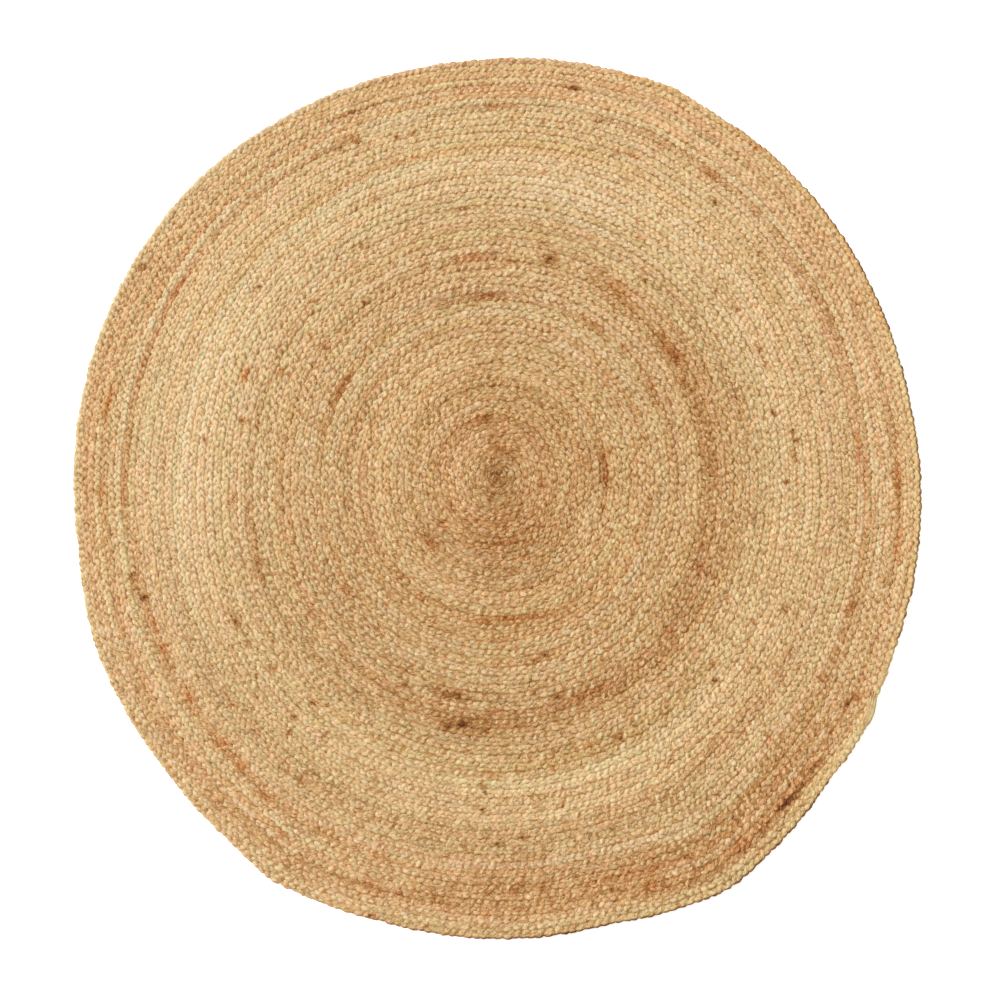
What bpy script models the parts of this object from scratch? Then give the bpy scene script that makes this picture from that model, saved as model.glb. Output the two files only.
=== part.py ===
"""Round jute rug: one long flat braid, coiled from the middle outwards and sewn edge to edge.

Metres, +Z up. The underside lies at Z = 0 and the origin is under the middle of the rug.
A place on the rug is given by its round number, counted from the middle in braid widths, and by its
direction, counter-clockwise from +X. The coil grows counter-clockwise, seen from above.
"""

import bmesh
import bpy
import numpy as np

RUG_NAME = "round_jute_rug"

# The coil
HALF_WIDTH = 0.582  # of the slightly oval rug, along X
HALF_LENGTH = 0.614  # along Y
ROUNDS = 57
LOOSENING = 0.08  # share by which the rounds lie wider apart half way out than on the average

# The braid, seen as one rib: highest along its middle, lowest where it is sewn to the next round
BRAID_THICKNESS = 0.0088
SEAM_DEPTH = 0.0020
RIM_HEIGHT = 0.0056  # where the outermost round turns down to the floor

# The loose end of the braid, narrowed and tucked against the round inside it
TAIL_DIRECTION = 330.0
TAIL_LENGTH = 0.11
TAIL_WIDTH = 0.3  # share of the braid's outer half that is left at the very end

# How far the edge stands out of the oval, and how far out the rounds begin to follow it
EDGE_KINKS = np.array(
    [
        # direction, stands out (mm), begins at (share of the way out)
        (0, 2, 0.55),
        (12, 1, 0.55),
        (32, 7, 0.55),
        (50, 12, 0.55),
        (60, 11, 0.60),
        (66, 17, 0.60),
        (72, 11, 0.60),
        (82, 8, 0.55),
        (92, 1, 0.50),
        (104, 0, 0.50),
        (122, 4, 0.50),
        (136, 10, 0.50),
        (150, 8, 0.50),
        (170, 3, 0.50),
        (190, -7, 0.50),
        (203, -1, 0.55),
        (222, -7, 0.65),
        (234, -4, 0.72),
        (241, 4, 0.78),
        (256, -7, 0.70),
        (284, -5, 0.55),
        (299, 17, 0.48),
        (308, 8, 0.50),
        (317, 1, 0.52),
        (326, 6, 0.55),
        (350, 4, 0.55),
    ]
)

# Fold lines left from packing, each a soft radial ridge or trough that deepens towards the edge
FOLDS = [
    # direction, height (mm), half width (degrees), begins at (share of the way out)
    (66, -0.9, 2.5, 0.58),
    (241, 1.1, 4.0, 0.74),
    (299, 1.6, 4.5, 0.50),
]

# Where the rounds were drawn inwards while they were sewn
DRAWN_IN = [
    # direction, share of the way out, depth (mm), half width (degrees), half width (share)
    (178, 0.60, 8, 22, 0.13),
]

MM = 0.001
FIRST_TURN = 1.0  # the braid's blunt start, inside which the middle is filled
STEPS_PER_ROUND = 48
WELD = 0.00005
RIM_SHARP_ANGLE = 50.0

JUTE_COLOUR = (0.61, 0.385, 0.183, 1.0)
JUTE_ROUGHNESS = 0.85


def eased(share):
    """A smooth rise from 0 to 1."""
    share = np.clip(share, 0, 1)
    return share * share * (3 - 2 * share)


def degrees_apart(direction, other):
    return (direction - other + 180) % 360 - 180


def direction_at(turns):
    """The coil's direction after this many turns. Its last turn ends at the tail."""
    return TAIL_DIRECTION + 360 * (turns - ROUNDS)


def radius_at(rounds, direction):
    """Distance from the middle of the coil: the oval's, with the kinks and the drawn-in stretch."""
    out = rounds / ROUNDS
    spaced = out - LOOSENING * np.sin(2 * np.pi * out) / (2 * np.pi)
    angle = np.radians(direction)
    across = HALF_LENGTH * np.cos(angle)
    along = HALF_WIDTH * np.sin(angle)
    oval = HALF_WIDTH * HALF_LENGTH / np.hypot(across, along)

    kinks, stand_out, begins = EDGE_KINKS.T
    reach = np.interp(direction, kinks, begins, period=360)
    kink = np.interp(direction, kinks, stand_out, period=360) * MM
    radius = spaced * (oval + kink * eased((out - reach) / (1 - reach)))
    for centre, share, depth, half_width, half_share in DRAWN_IN:
        sideways = degrees_apart(direction, centre) / half_width
        outwards = (out - share) / half_share
        radius -= depth * MM * np.exp(-(sideways**2) - outwards**2)
    return radius


def fold_height(rounds, direction):
    """How much the fold lines lift or sink the top."""
    out = rounds / ROUNDS
    height = np.zeros_like(out)
    for centre, rise, half_width, begins in FOLDS:
        sideways = degrees_apart(direction, centre) / half_width
        height += rise * MM * np.exp(-(sideways**2)) * eased((out - begins) / (1 - begins))
    return height


def top_point(turns, side):
    """A point on the braid's top: side is -1 on its inner edge, 0 along its middle, 1 on its outer edge."""
    direction = direction_at(turns)
    run_left = np.pi * (HALF_WIDTH + HALF_LENGTH) * (ROUNDS - turns)
    narrowing = TAIL_WIDTH + (1 - TAIL_WIDTH) * eased(run_left / TAIL_LENGTH)
    rounds = turns + side / 2 * np.where(side > 0, narrowing, 1)
    radius = radius_at(rounds, direction)
    angle = np.radians(direction)
    outermost = (side > 0) & (turns > ROUNDS - 1 + 0.5 / STEPS_PER_ROUND)
    edge_height = np.where(outermost, RIM_HEIGHT, BRAID_THICKNESS - SEAM_DEPTH)
    height = np.where(side == 0, BRAID_THICKNESS, edge_height) + fold_height(rounds, direction)
    return np.stack([radius * np.cos(angle), radius * np.sin(angle), height], axis=-1)


def jute_material():
    material = bpy.data.materials.new("jute_braid")
    material.use_nodes = True
    shader = material.node_tree.nodes["Principled BSDF"]
    shader.inputs["Base Color"].default_value = JUTE_COLOUR
    shader.inputs["Roughness"].default_value = JUTE_ROUGHNESS
    shader.inputs["Metallic"].default_value = 0.0
    material.diffuse_color = JUTE_COLOUR
    return material


def coiled_ribbon(rug):
    """A flat grid, two cells across, wound into the coil. Its long edges weld into the seams."""
    steps = round((ROUNDS - FIRST_TURN) * STEPS_PER_ROUND)
    grid = bmesh.ops.create_grid(rug, x_segments=steps, y_segments=2, size=0.5)
    flat = np.array([vertex.co for vertex in grid["verts"]])
    turns = FIRST_TURN + np.round((flat[:, 0] + 0.5) * steps) / STEPS_PER_ROUND
    side = np.round(flat[:, 1] * 2)
    for vertex, point in zip(grid["verts"], top_point(turns, side)):
        vertex.co = point
    bmesh.ops.remove_doubles(rug, verts=rug.verts, dist=WELD)


def fill_middle(rug):
    """The start of the braid, turned in on itself, closes the small hole inside the first round."""
    hole = [
        edge
        for edge in rug.edges
        if edge.is_boundary and all(vertex.co.xy.length < HALF_WIDTH / 2 for vertex in edge.verts)
    ]
    filled = bmesh.ops.edgeloop_fill(rug, edges=hole)
    poked = bmesh.ops.poke(rug, faces=filled["faces"])
    # The middle point lies just before the blunt start, where it sees the whole rim of the hole.
    before_start = direction_at(np.array(FIRST_TURN)) - 60
    reach = radius_at(np.array(FIRST_TURN / 3), before_start)
    angle = np.radians(before_start)
    height = BRAID_THICKNESS - SEAM_DEPTH
    poked["verts"][0].co = (reach * np.cos(angle), reach * np.sin(angle), height)


def stand_on_floor(rug):
    """The rim goes straight down from the outermost round, and one flat face closes the underside."""
    rim = [edge for edge in rug.edges if edge.is_boundary]
    made = bmesh.ops.extrude_edge_only(rug, edges=rim)["geom"]
    foot = [item for item in made if isinstance(item, bmesh.types.BMVert)]
    for vertex in foot:
        vertex.co.z = 0
    foot_edges = [edge for edge in rug.edges if edge.is_boundary]
    bmesh.ops.edgeloop_fill(rug, edges=foot_edges)


def centre_over_origin(rug):
    points = np.array([vertex.co for vertex in rug.verts])
    middle = (points.min(axis=0) + points.max(axis=0)) / 2
    bmesh.ops.translate(rug, verts=rug.verts, vec=(-middle[0], -middle[1], 0))


def braided_rug():
    rug = bmesh.new()
    coiled_ribbon(rug)
    fill_middle(rug)
    stand_on_floor(rug)
    centre_over_origin(rug)
    bmesh.ops.recalc_face_normals(rug, faces=rug.faces)
    mesh = bpy.data.meshes.new("braided_rug")
    rug.to_mesh(mesh)
    rug.free()
    mesh.materials.append(jute_material())
    mesh.shade_smooth()
    mesh.set_sharp_from_angle(angle=np.radians(RIM_SHARP_ANGLE))
    return bpy.data.objects.new("braided_rug", mesh)


def main():
    for old in list(bpy.data.objects):
        bpy.data.objects.remove(old)
    parts = bpy.data.collections.new(RUG_NAME)
    bpy.context.scene.collection.children.link(parts)
    parts.objects.link(braided_rug())


main()
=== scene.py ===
"""Looks of the round jute rug: one long three-strand braid, coiled from the middle and sewn edge to edge.

Metres, +Z up. A place on the rug is given by its round number, counted from the middle in braid widths,
and by its direction in degrees, counter-clockwise from +X, as in the frame. Lengths along the braid are
counted from its start in the middle.
"""

import bpy
import numpy as np
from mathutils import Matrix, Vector


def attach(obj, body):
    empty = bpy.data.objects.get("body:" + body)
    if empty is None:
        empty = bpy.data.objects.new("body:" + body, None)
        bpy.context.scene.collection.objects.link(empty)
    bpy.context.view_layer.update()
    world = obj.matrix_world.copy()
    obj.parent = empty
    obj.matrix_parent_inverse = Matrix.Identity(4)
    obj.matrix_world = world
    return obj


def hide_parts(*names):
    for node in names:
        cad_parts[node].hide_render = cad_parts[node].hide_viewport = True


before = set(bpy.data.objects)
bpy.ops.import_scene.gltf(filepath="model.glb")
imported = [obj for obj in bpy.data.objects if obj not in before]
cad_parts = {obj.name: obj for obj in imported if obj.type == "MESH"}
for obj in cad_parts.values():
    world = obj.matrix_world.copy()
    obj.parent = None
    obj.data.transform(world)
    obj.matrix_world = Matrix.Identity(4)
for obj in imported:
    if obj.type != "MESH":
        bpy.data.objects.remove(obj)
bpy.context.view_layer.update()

MM = 0.001
SEED = 11

# The coil, as in the frame
HALF_WIDTH = 0.582
HALF_LENGTH = 0.614
ROUNDS = 57
LOOSENING = 0.08
TAIL_DIRECTION = 330
BRAID_WIDTH = 0.0105
MIDDLE = np.array([0.000354, -0.001735])  # of the coil: the frame's origin is under its box's middle

# How far the edge stands out of the oval, and how far out the rounds begin to follow it
EDGE_KINKS = [
    # direction, stands out (mm), begins at (share of the way out)
    (0, 2, 0.55),
    (12, 1, 0.55),
    (32, 7, 0.55),
    (50, 12, 0.55),
    (60, 11, 0.6),
    (66, 17, 0.6),
    (72, 11, 0.6),
    (82, 6, 0.55),
    (92, 0, 0.5),
    (104, -2, 0.5),
    (122, 2, 0.5),
    (136, 7.5, 0.5),
    (150, 6, 0.5),
    (170, 1, 0.5),
    (190, -7, 0.5),
    (203, -1, 0.55),
    (222, -7, 0.65),
    (234, -4, 0.72),
    (241, 4, 0.78),
    (256, -7, 0.7),
    (284, -5, 0.55),
    (299, 17, 0.48),
    (308, 8, 0.5),
    (317, 1, 0.52),
    (326, 6, 0.55),
    (335, 2, 0.55),
    (350, 2, 0.55),
]

# Fold lines left from packing, each a soft radial ridge or trough that deepens towards the edge
FOLDS = [
    # direction, height (mm), half width (degrees), begins at (share of the way out)
    (66, -0.9, 2.5, 0.58),
    (241, 1.1, 4, 0.74),
    (299, 1.6, 4.5, 0.5),
]

# Where the rounds were drawn inwards while they were sewn
DRAWN_IN = [
    # direction, share of the way out, depth (mm), half width (degrees), half width (share)
    (178, 0.6, 8, 22, 0.13),
]

# The loose end, drawn in over the round inside it, where its strands leave the plait and lie side by side
TUCK_LENGTH = 0.19
TUCK_DEPTH = 0.62  # braid widths
TUCK_RISE = 0.0018
UNPLAITED = 0.048
UNPLAITING = 0.01  # length over which the strands come apart
LANES = {"a": -0.34, "b": 0.0, "c": 0.33}  # braid widths from the middle of the braid
LOOSE_LIFT = 0.8  # share of the full lift, as the shares below
LOOSE_FULLNESS = 0.95
LAST_BIT = 0.03  # where the loose end is poked under
LAST_TUCK = 0.7  # share of the tuck that the last bit adds to it
LAST_THINNING = 0.5

# The plait: each strand swings from side to side, over the others on its way out and under on its way in
FIRST_TURN = 0.42
LEAST_ROUNDS = 0.08  # how close to the coil's middle a strand may come
SWING = 0.29  # share of a braid width, to each side
RIM_SWING = 0.56  # share of the outward swing that is left in the outermost round
RIM_ROUNDS = 0.9  # how far inside the edge, in rounds, the swing begins to lessen
RIM_EASING = 0.2
LIFT = 0.0013
MID_HEIGHT = 0.0043
UNDERSIDE = 0.0003  # the strands lie flattened on the floor
STRAND_WIDTH = 0.0076
STRAND_THICKNESS = 0.0048
FULLNESS = 0.13  # how much a strand swells where it lies on top
FULLEST = 60  # degrees of its phase at which it swells most
REPEAT_DRIFT = 0.1  # share by which the plait's repeat drifts at most from the one below
DRIFT_LENGTH = 0.35
PHASE_WANDER = 20  # degrees by which the plait runs ahead or behind at most, over each wander length
WANDER_LENGTH = 0.014
PLAIT_REPEAT = [
    # share of the way out, length of three lobes (m)
    (0.0, 0.0345),
    (0.5, 0.035),
    (0.64, 0.0345),
    (0.69, 0.0275),
    (0.84, 0.027),
    (0.87, 0.0305),
    (1.0, 0.0305),
]
RELIEF = [
    # share of the way out, share of the full lift
    (0.0, 0.2),
    (0.03, 0.35),
    (0.06, 0.75),
    (0.55, 0.8),
    (0.62, 0.65),
    (0.84, 0.65),
    (0.9, 0.85),
    (1.0, 0.85),
]
STATIONS = 44000  # along the braid, about 2.5 mm apart, where the plait's phase is worked out
INNER_SHARE = 0.52  # of the braid's length, in the inner piece of each strand

# A strand's points
SEEN_PHASES = np.array([-16, 18, 52, 85, 118])  # degrees; it is hidden from the last to the next first
SEEN_LIFTS = np.array([-0.55, 0.5, 0.95, 0.8, -0.2])  # at those phases, as shares of the full lift
PROFILE_ANGLES = np.array([-90, 156, 90, 24])  # of a strand's corners, from the keel round over the crown
TWIST_PITCH = -0.021  # one turn of the fibres round their strand

# Where a strand lies in its piece's image: each lobe has a cell, with most of its room for what shows
ALONG_PLACES = np.array([0.0, 0.23, 0.46, 0.69, 0.92, 1.0])
ROUND_PLACES = np.array([0.0, 0.1, 0.5, 0.9, 1.0])
ROWS_TO_COLUMNS = 1.5  # of the cells
SPARE_PLACE = 0.002  # side of the small corner of the image that is left to the caps

# How much lobes differ: standard deviation and limit
LOBE_SPREADS = {
    "phase": (11, 18),  # degrees
    "lean": (18, np.inf),  # degrees
    "swing": (0.16, np.inf),  # share, as the next two
    "lift": (0.3, 0.7),
    "fullness": (0.1, 0.22),
    "tone": (3.2, np.inf),
    "warmth": (0.45, np.inf),
    "straw": (0.8, np.inf),
}
# How much neighbouring rings of points differ: standard deviation
RING_SPREADS = {"swing": 0.03, "lift": 0.18 * MM, "fullness": 0.07, "tone": 4.5}
POINT_SPREAD = 4  # of the tone

# Lots of yarn, and for the seams stretches of painted seam shade: shortest and longest stretch of the braid,
# and the soft change to the next
ROW_LOTS = (0.12, 1.6, 0.04)
FAR_LOTS = (3, 9, 0.2)
SEAM_SHADE_LOTS = (0.05, 0.6, 0.02)
STRAND_LOTS = {"tone": (0.15, 2.5, 0.03), "warmth": (0.1, 1.5, 0.03), "straw": (0.15, 2.0, 0.03)}
# What they change by one standard deviation
ROW_STEPS = {"tone": 3.5, "warmth": 0.35, "straw": 0.8}
FAR_STEP = 2
SEAM_SHADE_STEPS = (7.5, 1.1)  # tone, warmth of the painted seam shade
STRAND_STEPS = {"tone": 2.5, "warmth": 0.5, "straw": 0.5}

# What pale wisps and the unplaited loose end change, and the values that all the yarn has in common
WISP_STEPS = {"tone": 13, "warmth": -0.8, "straw": -3}
WISP_EVENNESS = 0.6  # share of the differences between lobes that a wisp hides
LOOSE_STEPS = {"warmth": -0.3, "straw": -1.2}
COMMON = {"warmth": -0.35, "straw": 0.3}

# In the outer rounds the lots differ more, and the darker ones are also the redder ones
OUTER_BEGINS = 46.5
OUTER_EASING = 2
OUTER_TONE = 2.7
OUTER_WARMTH = -0.8
OUTER_MEAN = 0.2  # of the lots there, in standard deviations

# Painted seam shade shows from here outwards, in braid widths from the braid's middle
SEAM_SHADE_BEGINS = 0.2
SEAM_SHADE_EASING = 0.3

# The side that turns away from the lamp shows as a thin dark line along the rim
RIM_TONE = -90
RIM_BEGINS = 0.24  # braid widths from the braid's middle
RIM_SOFTNESS = 0.25
RIM_LENGTH = 0.98  # rounds, from the loose end back
SHADED_SIDE = -28  # direction
SHADE_EASING = 0.6

# The packed fibres between the strands
BED_TOP = 0.0062
BED_LOW = 0.0032
BED_RINGS = 57
BED_SPOKES = 120
BED_EDGE = 0.1  # rounds, from the middle of the outermost round inwards
BED_HOLE = 0.2  # rounds
# The slab is painted darker and warmer than the strands: painted shade in the gaps between them
BED_COLOUR_AND_PAINTED_SHADE = {"tone": -34.0, "warmth": 1.2, "straw": 1.0, "depth": 0.42}
BED_FIBRE = (0, 3, 0)  # shift of its fibre coordinates, which keeps their axis out of the slab

# Fine single fibres that stand out of the braid
LOOSE_FIBRES = 1500
FIBRE_RINGS = 7
FIBRE_ANGLES = np.array([-90, 150, 30])  # of the corners of its profile
FIBRE_SPREAD = (0.0005, 0.995)  # shares of the rug's area, from the middle out
FIBRE_ROUNDS = (0.2, ROUNDS + 0.2)  # the first and last that they may reach
LEAST_BEND = 0.02  # radius of the circle that they bend round
FIBRE_RUN = (0.01, 0.042)
FIBRE_LEAN = 32  # degrees from the braid's direction, one standard deviation
FIBRE_SWAYS = [(1, 0.07), (3, 0.03)]  # half waves in its run, and how far across as a share of the run
SWAY_PHASES = (0, 6)  # radians
FIBRE_HEIGHT = 0.0084
FIBRE_STANDING = 0.5 * MM
FIBRE_DIP = 1.6 * MM  # of its ends, back among the strands
FIBRE_RADIUS = (0.1 * MM, 0.22 * MM)
FIBRE_TAPER = 0.55  # share of its radius that is gone at its ends
FIBRE_TONE = (2, 15)  # mean and standard deviation
FIBRE_HUE = 0.8  # standard deviation of its warmth and of its straw
# How deep a loose fibre counts for the painted shade between the strands
FIBRE_DEPTH = 0.2

# The tone of the jute at large: lightness steps, where 0 is its mean colour
ROUND_TONES = [
    # round, tone, warmth
    (0, -27, 0.0),
    (3, -17, 0.6),
    (5, -13, 0.9),
    (6.5, -6, 1.0),
    (8, -15, 1.1),
    (12, -11, 1.1),
    (14, 0, 0.5),
    (17, -3, 0.6),
    (18, -5, 0.5),
    (19.5, -4, 0.5),
    (21, -10, 0.4),
    (22, -3, 0.2),
    (23.5, -6, 0.1),
    (26, -9, 0.1),
    (28, -11, 0.4),
    (29, -5, 0.4),
    (31, -2, 0.2),
    (33, -2.5, 0.0),
    (37, 6, -0.1),
    (39, -1, 0.0),
    (42, 10, 0.1),
    (43.5, -3, 0.2),
    (45, -3, 0.3),
    (47, 9, 0.3),
    (49, 4, 0.4),
    (50.5, 0, 0.9),
    (52, -2, 1.3),
    (53, -6, 1.3),
    (54, 5, 1.3),
    (57, 3, 0.1),
]

STREAKS = [
    # round, direction, half width (rounds), half length (degrees), tone
    (36, 115, 18, 75, 7),
    (50, 275, 9, 60, -5),
    (50, 335, 9, 35, -4),
    (1.5, 80, 5, 28, -6),
    (5, 290, 4.5, 45, -10),
    (12, 285, 4, 30, -10),
    (5.5, 160, 2.2, 45, 8),
    (8.6, 100, 0.5, 60, -12),
    (9, 300, 0.8, 60, -6),
    (13.4, 100, 0.5, 75, -9),
    (14.8, 5, 1.6, 16, -12),
    (12.6, 225, 0.9, 14, -9),
    (18.7, 225, 0.5, 30, -8),
    (19.6, 285, 0.5, 25, -14),
    (16.5, 160, 1.5, 90, 4),
    (20.5, 165, 0.8, 14, -8),
    (22.7, 90, 0.5, 60, 6),
    (24.4, 60, 0.4, 40, -7),
    (24.5, 98, 0.6, 12, -12),
    (24.4, 150, 0.4, 22, -12),
    (25.4, 215, 0.4, 14, -8),
    (28.7, 30, 1.3, 32, -10),
    (28.2, 350, 1.1, 30, -12),
    (30.2, 300, 1.5, 45, -13),
    (28.6, 100, 0.6, 60, -6),
    (28.2, 258, 0.6, 5, -18),
    (31.4, 261, 0.7, 4, -22),
    (29.9, 77, 0.6, 3, -16),
    (33.7, 25, 0.4, 30, -7),
    (33.6, 190, 0.3, 20, -8),
    (35.5, 295, 1.4, 22, -10),
    (39.3, 85, 0.6, 32, 9),
    (38, 155, 0.7, 38, 6),
    (38.6, 292, 0.8, 25, 10),
    (42, 175, 3.5, 32, 9),
    (46.5, 150, 1.6, 30, 5),
    (43.7, 102, 0.3, 22, -14),
    (43, 320, 1.2, 14, -8),
    (45.5, 282, 1.4, 22, -9),
    (46, 41, 1.8, 5, -8),
    (49.2, 60, 0.7, 45, -9),
    (49.2, 115, 0.6, 5, -16),
    (49.8, 178, 0.5, 26, -12),
    (48.7, 215, 0.7, 20, -8),
    (48.8, 340, 0.6, 12, -12),
    (51.8, 30, 0.6, 45, 6),
    (51.6, 72, 0.7, 9, 10),
    (52.4, 232, 0.35, 22, 12),
    (50.6, 292, 1.6, 28, -14),
    (53.3, 30, 0.7, 30, -10),
    (53.1, 140, 0.5, 60, -12),
    (53.3, 300, 0.5, 70, -14),
    (54.7, 308, 0.7, 18, -20),
    (55.3, 282, 1.2, 18, -6),
    (55.2, 100, 1, 60, 5),
]
STREAK_FADES = 0.7  # share of its half length where a streak begins to fade
STREAK_FADING = 0.6

# Pale, untwisted fibres that lie smoothly along the braid
WISPS = [
    # round, direction, half width (rounds), half length (degrees)
    (37.9, 74, 0.55, 11),
    (39.6, 76, 0.35, 13),
    (35.6, 71, 0.3, 6),
    (19.9, 62, 0.4, 9),
    (41, 188, 0.25, 14),
    (38.6, 186, 0.25, 12),
    (52.6, 236, 0.35, 9),
    (46.8, 33, 0.5, 4),
]

# Knots, bark and patches in the fibre, found in the picture. Each row: how far right and down in the
# picture (thousandths), half length and half width (mm), turned from the braid (degrees)
DARK_KNOTS = [
    (141, 267, 6, 4, 60), (258, 287, 6, 3, -50), (352, 112, 5, 3, 0), (338, 150, 5, 3, 0),
    (357, 142, 6, 3, 0), (375, 105, 3, 3, 0), (311, 302, 7, 1.6, -20), (365, 303, 4, 3, 0),
    (118, 311, 3, 2, 0), (110, 337, 3, 2, 0), (574, 88, 7, 3, 0), (397, 137, 5, 3, 0),
    (414, 132, 6, 3, 20), (464, 209, 11, 1.5, 0), (550, 259, 7, 6, 60), (645, 282, 5, 3, 0),
    (715, 202, 7, 3, 0), (716, 290, 4, 3, 0), (765, 365, 3, 3, 0), (760, 349, 5, 1.5, 0),
    (735, 309, 7, 1.5, 40), (241, 420, 4, 4, 0), (205, 440, 6, 4, 60), (164, 462, 3, 2, 0),
    (132, 575, 6, 2, 80), (144, 598, 4, 7, 0), (347, 378, 4, 3, 0), (247, 644, 4, 3, 60),
    (235, 622, 11, 1.5, 0), (793, 431, 4, 2, -20), (796, 441, 3, 5, 0), (786, 482, 3, 4, 50),
    (774, 413, 6, 1.5, 60), (256, 676, 4, 2, 0), (312, 703, 4, 5, 90), (294, 717, 4, 4, 0),
    (325, 736, 3, 4, 0), (289, 732, 5, 1.5, 90), (371, 916, 5, 3, 0), (405, 685, 7, 3, 0),
    (463, 724, 5, 5, 0), (485, 731, 5, 3, 0), (558, 697, 5, 3, 0), (482, 785, 4, 3, 0),
    (485, 792, 4, 2, 0), (482, 810, 3, 3, 0), (618, 738, 4, 4, 0), (563, 807, 3, 2, 0),
    (497, 844, 4, 3, 0), (545, 655, 5, 3, 0), (535, 660, 5, 2, 0), (612, 890, 3, 2, 0),
    (620, 891, 3, 2, 0), (714, 681, 3, 4, 0), (717, 795, 3, 2, 0), (790, 799, 12, 4, 0),
    (781, 808, 8, 3, 0),
]
BROWN_BARK = [
    (331, 122, 4, 3, 0), (183, 281, 5, 4, 0), (326, 347, 5, 5, 0), (427, 130, 4, 2, 0),
    (488, 105, 7, 4, 0), (514, 121, 5, 4, 0), (544, 122, 4, 4, 0), (600, 122, 6, 4, 0),
    (492, 217, 4, 2, 0), (365, 247, 7, 5, 0), (541, 243, 4, 5, 0), (510, 262, 8, 4, 0),
    (455, 291, 4, 2, 0), (474, 305, 9, 3, 0), (603, 275, 8, 5, 0), (583, 319, 4, 2, 0),
    (643, 138, 4, 3, 0), (827, 309, 4, 3, 0), (663, 335, 6, 4, 0), (676, 360, 7, 6, 0),
    (797, 273, 4, 3, 0), (248, 421, 5, 4, 90), (258, 424, 5, 4, 0), (205, 493, 3, 3, 0),
    (257, 560, 7, 3, 0), (122, 545, 4, 4, 0), (118, 531, 2, 4, 0), (331, 402, 4, 3, 0),
    (292, 587, 3, 4, 0), (345, 505, 5, 6, 0), (340, 620, 4, 3, 0), (162, 362, 4, 3, 0),
    (684, 383, 7, 5, 0), (795, 458, 9, 5, 0), (736, 398, 4, 4, 0), (725, 525, 4, 4, 0),
    (752, 516, 3, 4, 0), (717, 586, 3, 3, 0), (785, 607, 5, 6, 0), (754, 622, 4, 3, 0),
    (771, 626, 4, 2, 0), (860, 525, 3, 3, 0), (221, 762, 3, 3, 0), (300, 780, 4, 5, 0),
    (284, 833, 5, 5, 0), (335, 714, 3, 3, 0), (447, 698, 6, 3, 0), (446, 727, 7, 4, 0),
    (512, 846, 8, 3, 0), (447, 855, 5, 2, 0), (543, 888, 5, 4, 0), (515, 891, 5, 4, 0),
    (490, 893, 5, 4, 0), (845, 706, 12, 5, 0), (817, 766, 12, 4, 0), (803, 785, 12, 4, 0),
    (762, 832, 4, 3, 0), (735, 822, 4, 4, 0), (684, 857, 7, 3, 0), (497, 360, 7, 3, 0),
    (541, 404, 7, 4, 0), (541, 485, 6, 5, 0), (603, 509, 8, 4, 0), (570, 508, 4, 3, 0),
]
RUSTY_PATCHES = [
    (345, 116, 16, 4, 0), (348, 138, 28, 7, 4), (176, 290, 20, 4, 0), (345, 220, 5, 4, 0),
    (247, 196, 5, 4, 0), (310, 314, 4, 4, 0), (566, 86, 22, 4, 0), (505, 107, 26, 4, 0),
    (634, 157, 7, 4, 0), (618, 152, 5, 3, 0), (480, 186, 6, 2, 70), (423, 263, 5, 5, 0),
    (391, 265, 5, 3, 30), (475, 257, 30, 6, 0), (488, 296, 20, 5, 0), (618, 288, 22, 9, 0),
    (641, 236, 12, 4, 0), (592, 323, 12, 4, 0), (757, 149, 4, 3, 0), (752, 142, 6, 2, 0),
    (660, 145, 5, 4, 0), (694, 156, 4, 4, 0), (711, 175, 14, 9, 0), (701, 272, 6, 3, 0),
    (672, 352, 20, 9, 0), (858, 304, 6, 6, 0), (246, 376, 10, 4, 0), (108, 400, 18, 3, -6),
    (124, 601, 4, 7, 0), (155, 625, 10, 5, 0), (231, 498, 6, 6, 0), (280, 372, 7, 7, 0),
    (340, 390, 24, 5, 0), (346, 590, 9, 6, 0), (308, 614, 5, 7, 0), (652, 388, 6, 5, 0),
    (760, 391, 4, 3, 0), (859, 458, 3, 4, 0), (703, 545, 8, 5, 0), (698, 568, 5, 6, 0),
    (851, 608, 10, 6, 0), (670, 632, 7, 6, 0), (274, 668, 5, 4, 0), (190, 697, 9, 7, 0),
    (201, 743, 5, 4, 0), (263, 796, 10, 5, 0), (368, 884, 12, 3, 0), (453, 694, 26, 4, 0),
    (588, 694, 36, 6, 0), (553, 769, 5, 4, 60), (493, 774, 8, 4, 0), (466, 848, 4, 4, 0),
    (523, 838, 5, 4, 0), (629, 873, 22, 3, 0), (600, 880, 16, 3, 0), (714, 664, 5, 5, 0),
    (819, 677, 7, 5, 80), (858, 697, 5, 8, 0), (870, 693, 2.5, 9, 0), (767, 825, 7, 4, 0),
    (711, 843, 8, 4, 0), (655, 868, 24, 3, 0), (742, 848, 14, 7, 0), (650, 887, 12, 7, 0),
    (671, 761, 9, 4, 0), (485, 418, 16, 4, 0), (500, 449, 13, 6, 0), (606, 478, 16, 5, 0),
    (420, 598, 5, 5, 0), (443, 525, 9, 5, 0), (430, 543, 12, 7, 0), (603, 456, 8, 6, 0),
    (500, 543, 36, 3, 0), (515, 618, 60, 4, 0),
]
ORANGE_PATCHES = [
    (543, 172, 4, 3, 0), (758, 148, 6, 4, 0), (245, 375, 14, 6, 0), (108, 405, 22, 4, -6),
    (134, 582, 9, 8, 0), (165, 648, 8, 6, 0), (101, 490, 18, 4, 0), (122, 490, 30, 4, 0),
    (858, 443, 14, 4, 0), (898, 480, 32, 5, 0), (899, 545, 24, 4, 0), (225, 743, 7, 7, 0),
    (242, 765, 6, 7, 0), (323, 890, 5, 3, 0), (344, 855, 6, 4, 0), (587, 747, 6, 3, 0),
    (770, 738, 5, 6, 0),
]
GREY_PATCHES = [
    (634, 227, 5, 4, 0), (787, 382, 4, 4, 0), (790, 487, 4, 3, 0), (478, 507, 5, 5, 0),
    (500, 476, 18, 18, 0),
]
PALE_PATCHES = [
    (651, 768, 6, 5, 0), (408, 478, 5, 5, 0),
]
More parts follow.
